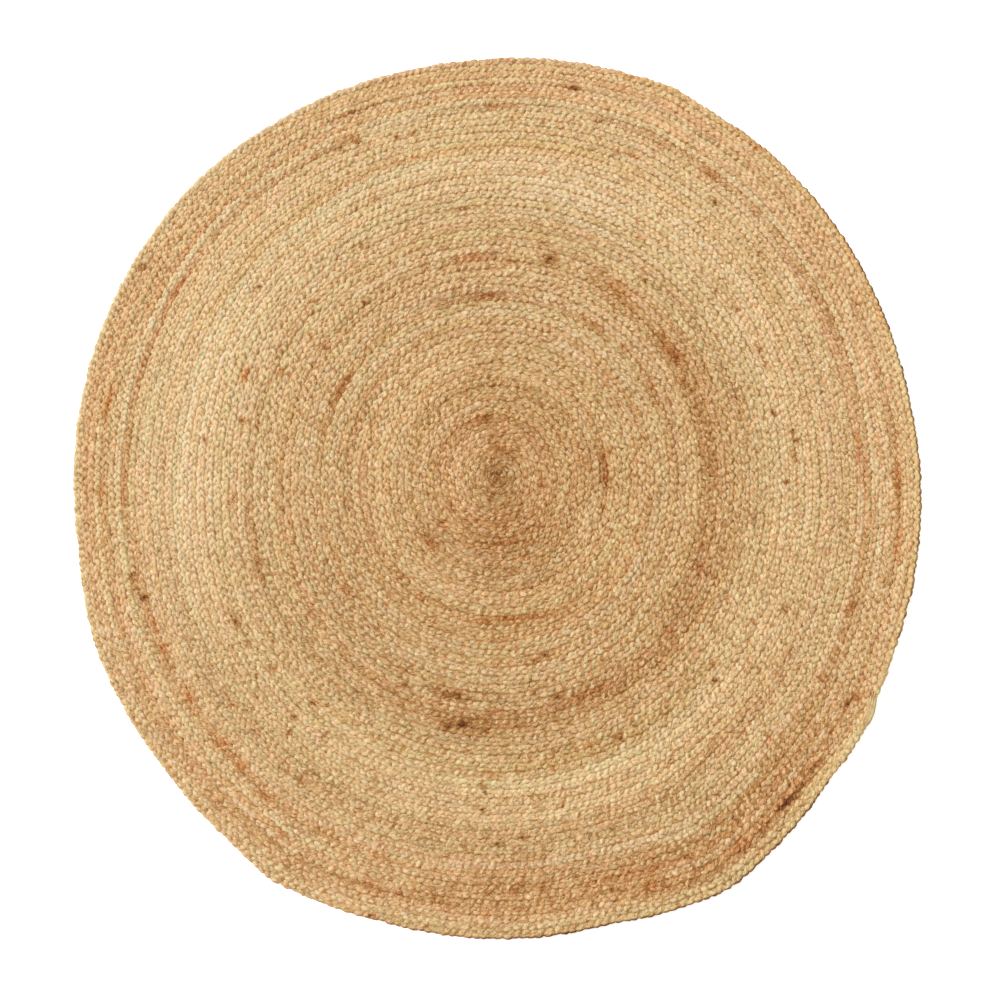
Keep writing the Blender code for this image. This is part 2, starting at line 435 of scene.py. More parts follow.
MARKS = [
    # tone, warmth, straw, where
    (-78, 1.2, -1.4, DARK_KNOTS),
    (-40, 1.4, 0.0, BROWN_BARK),
    (-29, 3.8, 1.2, RUSTY_PATCHES),
    (-22, 4.2, 2.8, ORANGE_PATCHES),
    (-12, -1.6, -2.2, GREY_PATCHES),
    (16, -0.8, -2.2, PALE_PATCHES),
]

LEAST_MARK = 2.4  # mm, so that no mark slips between the points of the braid
MARK_REACH = 2.2  # half sizes out to which a mark is worked out

# The camera stands as it did for the picture
LENS = 57.82
SENSOR = 36
TILT = np.radians(10)
DISTANCE = 2.2
TARGET = (MIDDLE[0] + 0.0041, MIDDLE[1] - 0.0292, 0.0)
SEEN_HEIGHT = 0.0075  # of the rug's top, on which the picture's places lie

# A soft lamp from the upper left, in an evenly lit room with a pale floor
ROOM_COLOUR = (1, 0.974, 0.925, 1)
ROOM_STRENGTH = 0.72
LAMP_ENERGY = 2.35
LAMP_COLOUR = (0.977, 0.992, 1.08)
LAMP_WIDTH = 32  # degrees, as the two below
LAMP_AZIMUTH = 155
LAMP_ELEVATION = 42
LAMP_DISTANCE = 3
FLOOR_SIZE = 40
FLOOR_DROP = 0.0002
# A faint light of its own keeps the floor as evenly pale as a lit backdrop
FLOOR_LOOKS = {
    "Base Color": (0.97, 0.97, 0.97, 1),
    "Roughness": 0.9,
    "Emission Color": (1, 1, 1, 1),
    "Emission Strength": 0.45,
}


def eased(share):
    """A smooth rise from 0 to 1."""
    share = np.clip(share, 0, 1)
    return share * share * (3 - 2 * share)


def degrees_apart(direction, other):
    return (direction - other + 180) % 360 - 180


def direction_at(turns):
    """The coil's direction after this many turns. Its last turn ends at the tail."""
    return TAIL_DIRECTION + 360 * (turns - ROUNDS)


def radius_at(rounds, direction):
    """Distance from the middle of the coil: the oval's, with the kinks and the drawn-in stretch."""
    out = rounds / ROUNDS
    spaced = out - LOOSENING * np.sin(2 * np.pi * out) / (2 * np.pi)
    angle = np.radians(direction)
    across = HALF_LENGTH * np.cos(angle)
    along = HALF_WIDTH * np.sin(angle)
    oval = HALF_WIDTH * HALF_LENGTH / np.hypot(across, along)

    kinks, stand_out, begins = np.array(EDGE_KINKS).T
    reach = np.interp(direction, kinks, begins, period=360)
    kink = np.interp(direction, kinks, stand_out, period=360) * MM
    radius = spaced * (oval + kink * eased((out - reach) / (1 - reach)))
    for centre, share, depth, half_width, half_share in DRAWN_IN:
        sideways = degrees_apart(direction, centre) / half_width
        outwards = (out - share) / half_share
        radius -= depth * MM * np.exp(-(sideways**2) - outwards**2)
    return radius


def fold_height(rounds, direction):
    """How much the fold lines lift or sink the top."""
    out = rounds / ROUNDS
    height = np.zeros_like(out)
    for centre, rise, half_width, begins in FOLDS:
        sideways = degrees_apart(direction, centre) / half_width
        height += rise * MM * np.exp(-(sideways**2)) * eased((out - begins) / (1 - begins))
    return height


def place(rounds, direction, height):
    """Points in the frame from round numbers, directions and heights."""
    radius = radius_at(rounds, direction)
    angle = np.radians(direction)
    x = MIDDLE[0] + radius * np.cos(angle)
    y = MIDDLE[1] + radius * np.sin(angle)
    return np.stack([x, y, height], axis=-1)


def run_left(turns):
    """Length of braid from here to its loose end."""
    return np.pi * (HALF_WIDTH + HALF_LENGTH) * (ROUNDS - turns)


def smooth_noise(rng, at, spacing):
    """Values from -1 to 1 drawn every spacing and joined smoothly, read at these places."""
    cell = at / spacing
    knots = rng.uniform(-1, 1, int(cell.max()) + 3)
    low = np.floor(cell).astype(int)
    blend = eased(cell - low)
    return knots[low] * (1 - blend) + knots[low + 1] * blend


def lots(rng, total, shortest, longest, soft):
    """Values of one standard deviation that stay for a random length and then change softly to the next, as a
    function of the length along the braid."""
    count = int(3 * total / shortest)  # more than can be needed
    lengths = np.exp(rng.uniform(np.log(shortest), np.log(longest), count))
    starts = np.cumsum(lengths)
    starts = starts[starts < total + longest]
    values = rng.normal(0, 1, len(starts) + 1)
    begins = np.concatenate([[-1], starts])  # the first lot begins well before the braid

    def read(at):
        lot = np.searchsorted(starts, at)
        blend = eased((at - begins[lot]) / soft)
        return values[np.maximum(lot - 1, 0)] * (1 - blend) + values[lot] * blend

    return read


def each(rng, lobe, what):
    """One random value for each lobe."""
    spread, limit = LOBE_SPREADS[what]
    return np.clip(rng.normal(0, spread, lobe.max() + 1)[lobe], -limit, limit)


def plait_phase(rng):
    """Turns, length along the braid and plait phase in degrees, at evenly spaced stations."""
    turns = np.sqrt(np.linspace(FIRST_TURN**2, ROUNDS**2, STATIONS))
    midline = place(turns, direction_at(turns), np.zeros_like(turns))
    steps = np.linalg.norm(np.diff(midline, axis=0), axis=1)
    length = np.concatenate([[0], np.cumsum(steps)])
    repeat = np.interp(turns / ROUNDS, *np.array(PLAIT_REPEAT).T)
    repeat *= 1 + REPEAT_DRIFT * smooth_noise(rng, length, DRIFT_LENGTH)
    phase = np.concatenate([[0], np.cumsum(360 * steps / repeat[1:])])
    phase += PHASE_WANDER * smooth_noise(rng, length, WANDER_LENGTH)
    return turns, length, np.maximum.accumulate(phase)


def strand_samples(phase_end, offset):
    """Phases at which a strand gets a ring of points: five on each lobe, none where it is hidden."""
    lobes = np.arange(int(phase_end / 180) + 3)
    own = (SEEN_PHASES[None, :] + 180 * lobes[:, None]).ravel()
    shared = own - offset
    keep = (shared >= 0) & (shared <= phase_end)
    lobe = np.repeat(lobes, len(SEEN_PHASES))
    seen = np.tile(np.arange(len(SEEN_PHASES)), len(lobes))
    return shared[keep], own[keep], lobe[keep], seen[keep]


def ring_values(rounds):
    """Tone and warmth of the rings at these rounds."""
    ring, tone, warmth = np.array(ROUND_TONES).T
    return np.interp(rounds, ring, tone), np.interp(rounds, ring, warmth)


def large_tone(rounds, direction):
    """The tone at a place from the rings and the streaks that lie along them."""
    tone, _ = ring_values(rounds)
    for centre, towards, half_width, half_length, step in STREAKS:
        sideways = degrees_apart(direction, towards)
        # A streak follows the braid, so it moves one round outwards in a full turn
        outwards = (rounds - centre - sideways / 360) / half_width
        faded = eased((np.abs(sideways) / half_length - STREAK_FADES) / STREAK_FADING)
        tone += step * np.exp(-(outwards**2)) * (1 - faded)
    return tone


def wisp_share(rounds, direction):
    """How much of a place is pale, untwisted fibre: 1 along the middle of a wisp."""
    share = np.zeros_like(rounds)
    for centre, towards, half_width, half_length in WISPS:
        sideways = degrees_apart(direction, towards)
        outwards = (rounds - centre - sideways / 360) / half_width
        share += np.exp(-(outwards**2) - (sideways / half_length) ** 4)
    return np.minimum(share, 1)


def camera_place():
    return np.array(TARGET) + DISTANCE * np.array([0, -np.sin(TILT), np.cos(TILT)])


def seen_place(right, down):
    """Where a place in the picture lies on the rug: the camera's ray through it, followed down to the top."""
    across, upwards = (right / 1000 - 0.5) * SENSOR / LENS, (0.5 - down / 1000) * SENSOR / LENS
    ray = np.array([across, np.sin(TILT) + upwards * np.cos(TILT), upwards * np.sin(TILT) - np.cos(TILT)])
    start = camera_place()
    return (start + ray * (start[2] - SEEN_HEIGHT) / -ray[2])[:2]


def marks_at(points):
    """Tone, warmth and straw that the marks add at these points. A mark fades outwards as a bell."""
    added = np.zeros((len(points), 3))
    marks = [(change, *mark) for *change, kind in MARKS for mark in kind]
    for change, right, down, half_length, half_width, turned in marks:
        centre = seen_place(right, down)
        away = points[:, :2] - centre
        near = np.flatnonzero(np.abs(away).max(axis=1) < MARK_REACH * MM * max(half_length, half_width))
        outwards = centre - MIDDLE
        run = np.arctan2(outwards[1], outwards[0]) + np.radians(90 + turned)
        along = away[near] @ (np.cos(run), np.sin(run)) / (max(half_length, LEAST_MARK) * MM)
        across = away[near] @ (-np.sin(run), np.cos(run)) / (max(half_width, LEAST_MARK) * MM)
        added[near] += np.exp(-(along**2) - across**2)[:, None] * change
    return added


def tubes(path, half_width, half_thickness, angles):
    """Points of tubes: a profile, keel down, carried along each path across its direction. Its corner at an
    angle lies half_width * cos(angle) to the side and half_thickness * sin(angle) up."""
    heading = np.gradient(path, axis=-2)
    heading /= np.linalg.norm(heading, axis=-1, keepdims=True)
    side = np.cross(heading, (0, 0, 1))
    side /= np.linalg.norm(side, axis=-1, keepdims=True)
    upwards = np.cross(side, heading)
    around = np.radians(angles)
    sideways = side[..., None, :] * (half_width[..., None] * np.cos(around))[..., None]
    rising = upwards[..., None, :] * (half_thickness[..., None] * np.sin(around))[..., None]
    points = path[..., None, :] + sideways + rising
    points[..., 2] = np.maximum(points[..., 2], UNDERSIDE)
    return points


def tube_faces(rings, sides, count=1):
    """Quads between neighbouring rings of a tube's points, and a cap at each end, for this many tubes."""
    ring = np.arange(rings - 1)[:, None] * sides
    corner = np.arange(sides)[None, :]
    after = (corner + 1) % sides
    quads = np.stack([ring + corner, ring + sides + corner, ring + sides + after, ring + after], axis=-1)
    ends = np.stack([corner[0], (rings - 1) * sides + corner[0, ::-1]])
    first = rings * sides * np.arange(count)[:, None, None]
    return (first + quads.reshape(-1, 4)).reshape(-1, 4), list((first + ends).reshape(-1, sides))


def strip_map(cell, start, end, around):
    """Image places of tubes' quads: cells side by side in rows, each filled from start to end along the tube
    and by the shares in around from its keel over its crown and back."""
    cells = cell.max() + 1
    columns = int(np.ceil(np.sqrt(cells / ROWS_TO_COLUMNS)))
    rows = int(np.ceil(cells / columns))
    left = (cell % columns + start) / columns
    right = (cell % columns + end) / columns
    low = (cell // columns)[:, None] / rows
    lower = low + around[None, :-1] / rows
    upper = low + around[None, 1:] / rows
    across = np.stack([left, right, right, left], axis=-1)[:, None, :] + 0 * lower[..., None]
    along = np.stack([lower, lower, upper, upper], axis=-1)
    return np.stack([across, along], axis=-1).reshape(-1, 2)


def linked(name, data):
    """A new object in the scene."""
    made = bpy.data.objects.new(name, data)
    bpy.context.scene.collection.objects.link(made)
    return made


def mesh_piece(name, points, quads, caps, attributes, places=None):
    """A smooth mesh from arrays, with its point attributes and the image places of its quads' corners."""
    mesh = bpy.data.meshes.new(name)
    mesh.vertices.add(len(points))
    mesh.vertices.foreach_set("co", points.astype(np.float32).ravel())
    corners = np.concatenate([quads.ravel()] + list(caps)).astype(np.int32)
    sizes = np.concatenate([np.full(len(quads), 4), [len(cap) for cap in caps]]).astype(np.int32)
    mesh.loops.add(len(corners))
    mesh.loops.foreach_set("vertex_index", corners)
    mesh.polygons.add(len(sizes))
    mesh.polygons.foreach_set("loop_start", np.concatenate([[0], np.cumsum(sizes)[:-1]]).astype(np.int32))
    mesh.update(calc_edges=True)
    for label, values in attributes.items():
        kind, slot = ("FLOAT_VECTOR", "vector") if values.ndim == 2 else ("FLOAT", "value")
        attribute = mesh.attributes.new(label, kind, "POINT")
        attribute.data.foreach_set(slot, values.astype(np.float32).ravel())
    if places is not None:
        spare = 1 - SPARE_PLACE * np.array([(0, 0), (1, 0), (1, 1), (0, 1)])
        spares = [spare[np.arange(len(cap)) % 4] for cap in caps]
        layer = mesh.uv_layers.new(name="OFBake")
        layer.uv.foreach_set("vector", np.concatenate([places, *spares]).astype(np.float32).ravel())
    mesh.shade_smooth()
    return linked(name, mesh)


def strand_shape(rng, strand, own, lane):
    """A strand's path and sizes, where its own phase is in degrees, and how far it is out of the plait."""
    turns, lobe = strand["turns"], strand["lobe"]
    left = run_left(turns)
    last = 1 - eased(left / LAST_BIT)
    tuck = 1 - eased(left / TUCK_LENGTH) + LAST_TUCK * last
    loose = 1 - eased((left - UNPLAITED + UNPLAITING) / UNPLAITING)
    angle = np.radians(own)

    leaning = angle + np.radians(each(rng, lobe, "lean"))
    swing = SWING * np.sin(leaning) * (1 + each(rng, lobe, "swing"))
    swing += rng.normal(0, RING_SPREADS["swing"], len(own))
    inside_rim = eased((ROUNDS - RIM_ROUNDS - turns) / RIM_EASING)
    swing *= np.where(swing > 0, RIM_SWING + (1 - RIM_SWING) * inside_rim, 1)
    swing = swing * (1 - loose) + lane * loose
    rounds = np.maximum(turns + swing - TUCK_DEPTH * tuck, LEAST_ROUNDS)
    direction = direction_at(turns)

    relief = np.interp(turns / ROUNDS, *np.array(RELIEF).T)
    lift = LIFT * relief * SEEN_LIFTS[strand["seen"]] * (1 + each(rng, lobe, "lift"))
    lift += rng.normal(0, RING_SPREADS["lift"], len(own))
    lift = lift * (1 - loose) + LOOSE_LIFT * LIFT * loose
    height = MID_HEIGHT + LIFT * (1 - relief) + lift
    height = height + fold_height(rounds, direction) * (lift > 0) + TUCK_RISE * tuck

    fullness = 1 + FULLNESS * np.cos(2 * angle - np.radians(2 * FULLEST)) + each(rng, lobe, "fullness")
    fullness += rng.normal(0, RING_SPREADS["fullness"], len(own))
    fullness = fullness * (1 - loose) + (LOOSE_FULLNESS - LAST_THINNING * last) * loose
    return {
        "rounds": rounds,
        "direction": direction,
        "path": place(rounds, direction, height),
        "half_width": STRAND_WIDTH / 2 * fullness,
        "half_thickness": STRAND_THICKNESS / 2 * fullness,
        "loose": loose,
    }


def strand_colour(rng, strand, total, row_lots, far_lots):
    """A strand's tone, warmth and straw: the rug's at large, with lots of yarn and the lobes' differences."""
    rounds, length, lobe, loose = [strand[key] for key in ("rounds", "length", "lobe", "loose")]
    row_tone, row_warmth, row_straw = [read(length) for read in row_lots]
    wisp = wisp_share(rounds, strand["direction"])
    outer = eased((strand["turns"] - OUTER_BEGINS) / OUTER_EASING)

    def own_lots(what):
        return STRAND_STEPS[what] * lots(rng, total, *STRAND_LOTS[what])(length)

    tone = large_tone(rounds, strand["direction"])
    tone = tone + (ROW_STEPS["tone"] + OUTER_TONE * outer) * row_tone + FAR_STEP * far_lots(length)
    tone += own_lots("tone") + WISP_STEPS["tone"] * wisp
    uneven = each(rng, lobe, "tone") + rng.normal(0, RING_SPREADS["tone"], len(lobe))
    tone += uneven * (1 - loose) * (1 - WISP_EVENNESS * wisp)

    warmth = ring_values(rounds)[1] + ROW_STEPS["warmth"] * row_warmth + COMMON["warmth"]
    warmth += OUTER_WARMTH * outer * (row_tone - OUTER_MEAN)
    uneven = own_lots("warmth") + each(rng, lobe, "warmth")
    warmth += uneven + WISP_STEPS["warmth"] * wisp + LOOSE_STEPS["warmth"] * loose

    straw = COMMON["straw"] + ROW_STEPS["straw"] * row_straw + own_lots("straw")
    straw += each(rng, lobe, "straw") + WISP_STEPS["straw"] * wisp + LOOSE_STEPS["straw"] * loose
    return np.stack([tone, warmth, straw], axis=1)


def strands():
    """The three strands along the whole braid. Rows of yarn and the painted shade of the seams run on from
    strand to strand.
    """
    rng = np.random.default_rng(SEED)
    turns, length, phase = plait_phase(rng)
    total = length[-1]
    row_lots = [lots(rng, total, *ROW_LOTS) for _ in range(3)]
    far_lots = lots(rng, total, *FAR_LOTS)
    seam_shade_lots = [lots(rng, total, *SEAM_SHADE_LOTS) for _ in range(2)]
    made = []
    for number, letter in enumerate("abc"):
        shared, own, lobe, seen = strand_samples(phase[-1], 120 * number)
        shared = shared + each(rng, lobe, "phase")
        strand = {"turns": np.interp(shared, phase, turns), "length": np.interp(shared, phase, length)}
        strand.update(lobe=lobe, seen=seen)
        strand.update(strand_shape(rng, strand, own, LANES[letter]))
        strand["colour"] = strand_colour(rng, strand, total, row_lots, far_lots)
        one_round_in = np.interp(strand["turns"] - 1, turns, length)
        strand["outer_seam_shade"] = np.stack([read(strand["length"]) for read in seam_shade_lots])
        strand["inner_seam_shade"] = np.stack([read(one_round_in) for read in seam_shade_lots])
        made.append(strand)
    return made


def twisted_fibres(along):
    """Coordinates that run with a strand's fibres: its length, and its profile turned by its twist."""
    turned = np.radians(PROFILE_ANGLES) + 2 * np.pi * along[:, None] / TWIST_PITCH
    reach = STRAND_WIDTH / 2
    lengths = np.repeat(along, len(PROFILE_ANGLES))
    return np.stack([lengths, (reach * np.cos(turned)).ravel(), (reach * np.sin(turned)).ravel()], axis=1)


def point_colours(strand, inside, points):
    """Tone, warmth and straw at a piece's points: the strand's, with the marks, the painted seam shade and
    the shaded rim.
    """
    colour = np.repeat(strand["colour"][inside], len(PROFILE_ANGLES), axis=0) + marks_at(points)
    rng = np.random.default_rng(len(points))
    around = np.radians(PROFILE_ANGLES)
    turns = strand["turns"][inside]
    lateral = (strand["rounds"][inside] - turns)[:, None]
    lateral = lateral + strand["half_width"][inside][:, None] * np.cos(around) / BRAID_WIDTH

    # Painted shade of a seam shows on the edges of the two rounds that it joins, deeper or fainter in random
    # stretches as the seam stands more or less open
    edge = eased((np.abs(lateral) - SEAM_SHADE_BEGINS) / SEAM_SHADE_EASING)
    outer, inner = [strand[key][:, inside, None] for key in ("outer_seam_shade", "inner_seam_shade")]
    seams = np.where(lateral > 0, outer, inner)
    colour[:, 0] += (SEAM_SHADE_STEPS[0] * edge * seams[0]).ravel() + rng.normal(0, POINT_SPREAD, len(points))
    colour[:, 1] += (SEAM_SHADE_STEPS[1] * edge * seams[1]).ravel()

    outwards = points[:, :2] - MIDDLE
    shade = np.cos(np.arctan2(outwards[:, 1], outwards[:, 0]) - np.radians(SHADED_SIDE))
    rim = (turns > ROUNDS - RIM_LENGTH)[:, None] * eased((lateral - RIM_BEGINS) / RIM_SOFTNESS)
    colour[:, 0] += RIM_TONE * rim.ravel() * eased(shade / SHADE_EASING)
    return colour


def strand_piece(name, strand, low, high):
    """One of the three strands between two turn numbers, as a closed mesh."""
    inside = np.flatnonzero((strand["turns"] >= low) & (strand["turns"] < high))
    inside = np.arange(inside[0], min(inside[-1] + 2, len(strand["turns"])))
    whole = tubes(strand["path"], strand["half_width"], strand["half_thickness"], PROFILE_ANGLES)
    points = whole[inside].reshape(-1, 3)
    quads, caps = tube_faces(len(inside), len(PROFILE_ANGLES))
    # depth: how near a point lies to the strands' middle height, which the material paints darker and warmer
    # as shade
    away = np.abs(points[:, 2] - MID_HEIGHT) / (LIFT + STRAND_THICKNESS / 2)
    colour = point_colours(strand, inside, points)
    attributes = dict(zip(("tone", "warmth", "straw"), colour.T))
    attributes["depth"] = 1 - np.clip(away, 0, 1)
    attributes["fibre"] = twisted_fibres(strand["length"][inside])
    seen = strand["seen"][inside][:-1]
    cell = strand["lobe"][inside][:-1]
    places = strip_map(cell - cell.min(), ALONG_PLACES[seen], ALONG_PLACES[seen + 1], ROUND_PLACES)
    return mesh_piece(name, points, quads, caps, attributes, places)


def loose_fibres():
    """Fine single fibres that stand a little off the braid. Each runs near the braid's direction and sways:
    its place is its start plus a share of its run, plus sines across, and both its ends dip back among the
    strands."""
    rng = np.random.default_rng(SEED + 1)
    share = np.linspace(0, 1, FIBRE_RINGS)[None, :]

    def drawn(low, high):
        return rng.uniform(low, high, (LOOSE_FIBRES, 1))

    def varied(mean, spread):
        return rng.normal(mean, spread, (LOOSE_FIBRES, 1))

    start = ROUNDS * np.sqrt(drawn(*FIBRE_SPREAD))
    direction = drawn(0, 360)
    run = np.exp(drawn(*np.log(FIBRE_RUN)))
    lean = np.radians(varied(0, FIBRE_LEAN))
    forwards = (share - 0.5) * run * np.cos(lean)
    outwards = (share - 0.5) * run * np.sin(lean)
    for half_waves, reach in FIBRE_SWAYS:
        sway = reach * varied(0, 1)
        outwards = outwards + run * (sway * np.sin(half_waves * np.pi * share + drawn(*SWAY_PHASES)))
    rounds = np.clip(start + outwards / BRAID_WIDTH, *FIBRE_ROUNDS)
    directions = direction + np.degrees(forwards / np.maximum(start * BRAID_WIDTH, LEAST_BEND))
    standing = np.abs(varied(0, FIBRE_STANDING))
    height = FIBRE_HEIGHT + fold_height(rounds, directions)
    height = height + (standing + FIBRE_DIP) * np.sin(np.pi * share) - FIBRE_DIP
    radius = drawn(*FIBRE_RADIUS) * (1 - FIBRE_TAPER * (2 * share - 1) ** 4)
    points = tubes(place(rounds, directions, height), radius, radius, FIBRE_ANGLES)

    sides = len(FIBRE_ANGLES)
    tone = varied(*FIBRE_TONE) + ring_values(rounds)[0]
    whole = np.zeros(points.shape[:3])
    attributes = {
        "tone": (tone[..., None] + whole).ravel(),
        "warmth": (varied(0, FIBRE_HUE)[..., None] + whole).ravel(),
        "straw": (varied(0, FIBRE_HUE)[..., None] + whole).ravel(),
        "depth": (whole + FIBRE_DEPTH).ravel(),
        "fibre": points.reshape(-1, 3),
    }
    quads, caps = tube_faces(FIBRE_RINGS, sides, LOOSE_FIBRES)
    steps = FIBRE_RINGS - 1
    cell = np.repeat(np.arange(LOOSE_FIBRES), steps)
    step = np.tile(np.arange(steps), LOOSE_FIBRES) / steps
    places = strip_map(cell, step, step + 1 / steps, np.linspace(0, 1, sides + 1))
    return mesh_piece("loose_fibres", points.reshape(-1, 3), quads, caps, attributes, places)


def packed_fibres():
    """The fibres between the strands: a thin closed slab that follows the oval. Ring r of its points lies at
    the share r/rings of the way out to the middle of the outermost round."""
    spoke = np.arange(BED_SPOKES)
    last_turn = ROUNDS - 1 + spoke / BED_SPOKES
    share = (np.arange(BED_RINGS) + 1) / BED_RINGS
    rounds = np.maximum((last_turn - BED_EDGE)[None, :] * share[:, None], BED_HOLE)
    directions = np.broadcast_to(TAIL_DIRECTION + 360 * spoke / BED_SPOKES, rounds.shape)
    levels = [BED_TOP, BED_LOW]
    folded = fold_height(rounds, directions)
    faces = [place(rounds, directions, level + folded).reshape(-1, 3) for level in levels]
    centres = np.array([[*MIDDLE, level] for level in levels])
    points = np.concatenate([*faces, centres])

    count = BED_RINGS * BED_SPOKES
    top_centre, low_centre = 2 * count, 2 * count + 1
    ring = np.arange(BED_RINGS - 1)[:, None] * BED_SPOKES
    after = (spoke + 1) % BED_SPOKES
    outer = ring + BED_SPOKES
    upper = np.stack([ring + spoke, outer + spoke, outer + after, ring + after], axis=-1).reshape(-1, 4)
    lower = upper[:, ::-1] + count
    rim = count - BED_SPOKES
    wall = np.stack([rim + spoke, rim + count + spoke, rim + count + after, rim + after], axis=-1)
    caps = [np.array([top_centre, here, there]) for here, there in zip(spoke, after)]
    caps += [np.array([low_centre, count + there, count + here]) for here, there in zip(spoke, after)]

    # Painted shade: the slab's tone is lowered so that the gaps between the strands look shaded
    tone = large_tone(rounds, directions).ravel() + BED_COLOUR_AND_PAINTED_SHADE["tone"]
    attributes = {label: np.full(len(points), BED_COLOUR_AND_PAINTED_SHADE[label]) for label in ("warmth", "straw", "depth")}
    attributes["tone"] = np.concatenate([tone, tone, tone[:1], tone[:1]])
    attributes["fibre"] = points + BED_FIBRE
    return mesh_piece("packed_fibres", points, np.concatenate([upper, lower, wall]), caps, attributes)


class Socket:
    """A node's output, so that shader maths can be written as expressions."""

    def __init__(self, nodes, value):
        self.nodes = nodes
        self.value = value

    def maths(self, operation, *values):
        return self.nodes.add("ShaderNodeMath", {"operation": operation}, *values)

    def __add__(self, other):
        return self.maths("ADD", self, other)

    __radd__ = __add__

    def __sub__(self, other):
        return self.maths("SUBTRACT", self, other)

    def __rsub__(self, other):
        return self.maths("SUBTRACT", other, self)

    def __mul__(self, other):
        return self.maths("MULTIPLY", self, other)

    __rmul__ = __mul__

    def __truediv__(self, other):
        return self.maths("DIVIDE", self, other)

    def size(self):
        return self.maths("ABSOLUTE", self)

    def clamped(self, low=0.0, high=1.0):
        return self.maths("MINIMUM", self.maths("MAXIMUM", self, low), high)


class Nodes:
    """A material's node tree, filled through one method."""

    def __init__(self, name):
        self.material = bpy.data.materials.new(name)
        self.material.use_nodes = True
        self.tree = self.material.node_tree
        self.shader = self.tree.nodes["Principled BSDF"]

    def feed(self, socket, value):
        if isinstance(value, Socket):
            self.tree.links.new(value.value, socket)
        else:
            socket.default_value = value

    def add(self, kind, settings, *values, output=0, **named):
        """A node of this type: its settings first, then its sockets by place or by name."""
        node = self.tree.nodes.new(kind)
        for label, setting in settings.items():
            if label == "stops":
                ramp = node.color_ramp.elements
                while len(ramp) < len(setting):
                    ramp.new(0.5)
                for stop, (position, colour) in zip(ramp, setting):
                    stop.position = position
                    stop.color = (*colour, 1)
            else:
                setattr(node, label, setting)
        for place_in, value in enumerate(values):
            self.feed(node.inputs[place_in], value)
        for label, value in named.items():
            self.feed(node.inputs[label], value)
        return Socket(self, node.outputs[output])

    def attribute(self, label, output="Fac"):
        return self.add("ShaderNodeAttribute", {"attribute_name": label}, output=output)

    def parts(self, vector):
        """A vector's three numbers."""
        split = self.add("ShaderNodeSeparateXYZ", {}, vector)
        return [Socket(self, output) for output in split.value.node.outputs]

    def pattern(self, vector, along, offset, scale, detail, roughness):
        """Noise about 0, in coordinates that are squeezed along the strand and then shifted along it."""
        squeeze, shift = (along, 1.0, 1.0), (offset, 0.0, 0.0)
        squeezed = self.add("ShaderNodeVectorMath", {"operation": "MULTIPLY_ADD"}, vector, squeeze, shift)
        sizes = {"Scale": scale, "Detail": detail, "Roughness": roughness}
        return self.add("ShaderNodeTexNoise", {"noise_dimensions": "3D"}, Vector=squeezed, **sizes) - 0.5

    def dressed(self, looks):
        """The material, once its shader's sockets have these looks."""
        for label, value in looks.items():
            self.feed(self.shader.inputs[label], value)
        return self.material

    def tinted(self, colour, tint):
        """One colour multiplied by another."""
        settings = {"data_type": "RGBA", "blend_type": "MULTIPLY"}
        mixed = self.add("ShaderNodeMix", settings, 1.0, output=MIXED_COLOUR)
        for socket, value in zip(COLOURS_TO_MIX, (colour, tint)):
            self.feed(mixed.value.node.inputs[socket], value)
        return mixed


# Sockets that share their name with others of their node, by their places
OBJECT_COORDINATES = 3
COLOURS_TO_MIX = (6, 7)
MIXED_COLOUR = 2


def srgb(*steps):
    """Linear colour from display steps of 0 to 255."""
    share = np.array(steps) / 255
    return tuple(np.where(share <= 0.04045, share / 12.92, ((share + 0.055) / 1.055) ** 2.4))


# Jute from its darkest tone to its palest
TONE_RANGE = 80  # lightness steps from the middle of the ramp to either end
JUTE_TONES = [
    (0.0, srgb(101, 57, 23)),
    (0.2, srgb(154, 102, 47)),
    (0.35, srgb(183, 136, 82)),
    (0.5, srgb(206, 171, 121)),
    (0.62, srgb(220, 187, 139)),
    (0.75, srgb(231, 202, 155)),
    (1.0, srgb(241, 215, 171)),
]
# Patterns in the jute, in a strand's fibre coordinates or in the object's
PATTERNS = {
    # name: coordinates, squeezed along the strand to this share, shift, scale (per metre), detail, roughness
    "fine": ("fibre", 0.12, 0.0, 1100.0, 3.0, 0.65),
    "strips": ("fibre", 0.16, 0.0, 380.0, 2.0, 0.65),
    "specks": ("fibre", 0.35, 0.0, 420.0, 2.0, 0.65),
    "creases": ("fibre", 0.3, 5.0, 420.0, 1.0, 0.5),
    # patches only vary the painted shade deep between the strands
    "patches": ("fibre", 0.6, 11.0, 45.0, 2.0, 0.6),
    "coarse": ("object", 1.0, 0.0, 270.0, 2.0, 0.6),
    "blush": ("object", 1.0, 7.0, 170.0, 2.0, 0.7),
    "gold": ("object", 1.0, 3.0, 200.0, 2.0, 0.7),
}
# The ply step paints shade into the grooves between the plies and light along their middles; the other steps
# are the jute's own grain
TONE_STEPS = {"fine": 62, "strips": 120, "specks": 82, "coarse": 16, "ply": 10}
HEIGHT_SHARES = {"fine": 0.5, "strips": 1.0, "specks": 0.6, "coarse": 0.3, "ply": 0.3}
PLY_UNEVENNESS = 2.5  # how far the coarse pattern shifts the grooves between the plies
# Thin dark lines along the fibres: painted shade of fine creases
CREASE_WIDTH = 0.035
CREASE_SHADE_TONE = 26
CREASED = 0.2  # share of the jute that lies in creases
PAINTED_DEEP_SHADE = 2  # painted shade: how much darker the jute is painted deep between the strands, and how much more in some patches
PAINTED_SHADE_PATCHES = 50
MEAN_DEPTH = 0.35
# Deep between the strands the jute is also painted warmer: painted warm shade
PAINTED_DEEP_WARMTH = 3.5
WARM_DEPTH = 0.28
BLUSH = 10  # steps of warmth, and of straw below
GOLD = 10
